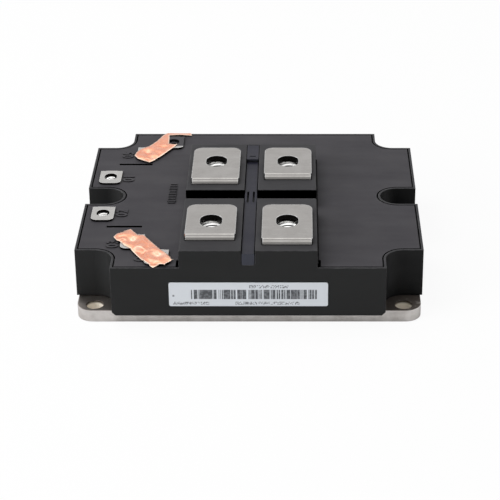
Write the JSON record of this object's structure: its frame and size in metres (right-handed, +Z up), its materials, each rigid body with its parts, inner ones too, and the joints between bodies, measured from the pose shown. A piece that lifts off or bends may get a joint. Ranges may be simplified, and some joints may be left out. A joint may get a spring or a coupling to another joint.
{
  "type": "dual igbt power module",
  "caption": "Flat rectangular power semiconductor module with a raised block of bolted main terminals, small control tabs and a metal base plate with mounting holes.",
  "frame": {"origin": "middle of the underside of the base plate", "axes": "+X to the right, away from the side with the control terminals; +Y to the back, away from the label; +Z up, out of the base plate"},
  "size_m": [0.14, 0.1302, 0.0355],
  "materials": {
    "nickel_plate": "satin nickel plating over copper, slightly rubbed and mirror-like at a low angle",
    "silicone_bead": "cured dark silicone",
    "case_plastic": "moulded glass-filled plastic, fine even grain, a little lighter on top",
    "lid_plastic": "moulded glass-filled plastic with a fine sparkle erosion texture",
    "insulator_plastic": "smooth bluish dark grey moulding",
    "main_terminal_metal": "nickel-plated copper, satin with fine scratches and brighter bends",
    "control_terminal_metal": "nickel-plated copper alloy, satin",
    "nut_steel": "zinc-plated steel, turned thread",
    "board_ceramic": "fired alumina, off-white",
    "track_copper": "bare bonded copper",
    "chip_silicon": "polished silicon with a metallised face",
    "wire_aluminium": "drawn aluminium wire",
    "lead_copper": "tinned copper lead",
    "clear_gel": "clear soft silicone gel",
    "label_film": "thin satin printed film with plain dark bars",
    "foil_copper": "thin crumpled copper foil, pale highlights on the creases"
  },
  "bodies": {
    "root": {"base_plate": "nickel_plate", "adhesive_bead": "silicone_bead", "case": "case_plastic", "lid": "lid_plastic", "centre_insulator": "insulator_plastic", "main_terminal_c1": "main_terminal_metal", "main_terminal_e1": "main_terminal_metal", "main_terminal_c2": "main_terminal_metal", "main_terminal_e2": "main_terminal_metal", "bolt_nuts": "nut_steel", "control_terminal_c1": "control_terminal_metal", "control_terminal_c2": "control_terminal_metal", "control_terminal_e1": "control_terminal_metal", "control_terminal_e2": "control_terminal_metal", "control_terminal_g1": "control_terminal_metal", "control_terminal_g2": "control_terminal_metal", "screw_nuts": "nut_steel", "ceramic_1": "board_ceramic", "ceramic_2": "board_ceramic", "ceramic_3": "board_ceramic", "ceramic_4": "board_ceramic", "copper_1": "track_copper", "copper_2": "track_copper", "copper_3": "track_copper", "copper_4": "track_copper", "igbt_chips_1": "chip_silicon", "igbt_chips_2": "chip_silicon", "igbt_chips_3": "chip_silicon", "igbt_chips_4": "chip_silicon", "diode_chips_1": "chip_silicon", "diode_chips_2": "chip_silicon", "diode_chips_3": "chip_silicon", "diode_chips_4": "chip_silicon", "bond_wires_1": "wire_aluminium", "bond_wires_2": "wire_aluminium", "bond_wires_3": "wire_aluminium", "bond_wires_4": "wire_aluminium", "lead_c1": "lead_copper", "lead_c2": "lead_copper", "lead_e1": "lead_copper", "lead_e2": "lead_copper", "lead_g1": "lead_copper", "lead_g2": "lead_copper", "gel": "clear_gel", "label": "label_film", "shorting_foil_front": "foil_copper", "shorting_foil_back": "foil_copper"}
  },
  "joints": []
}
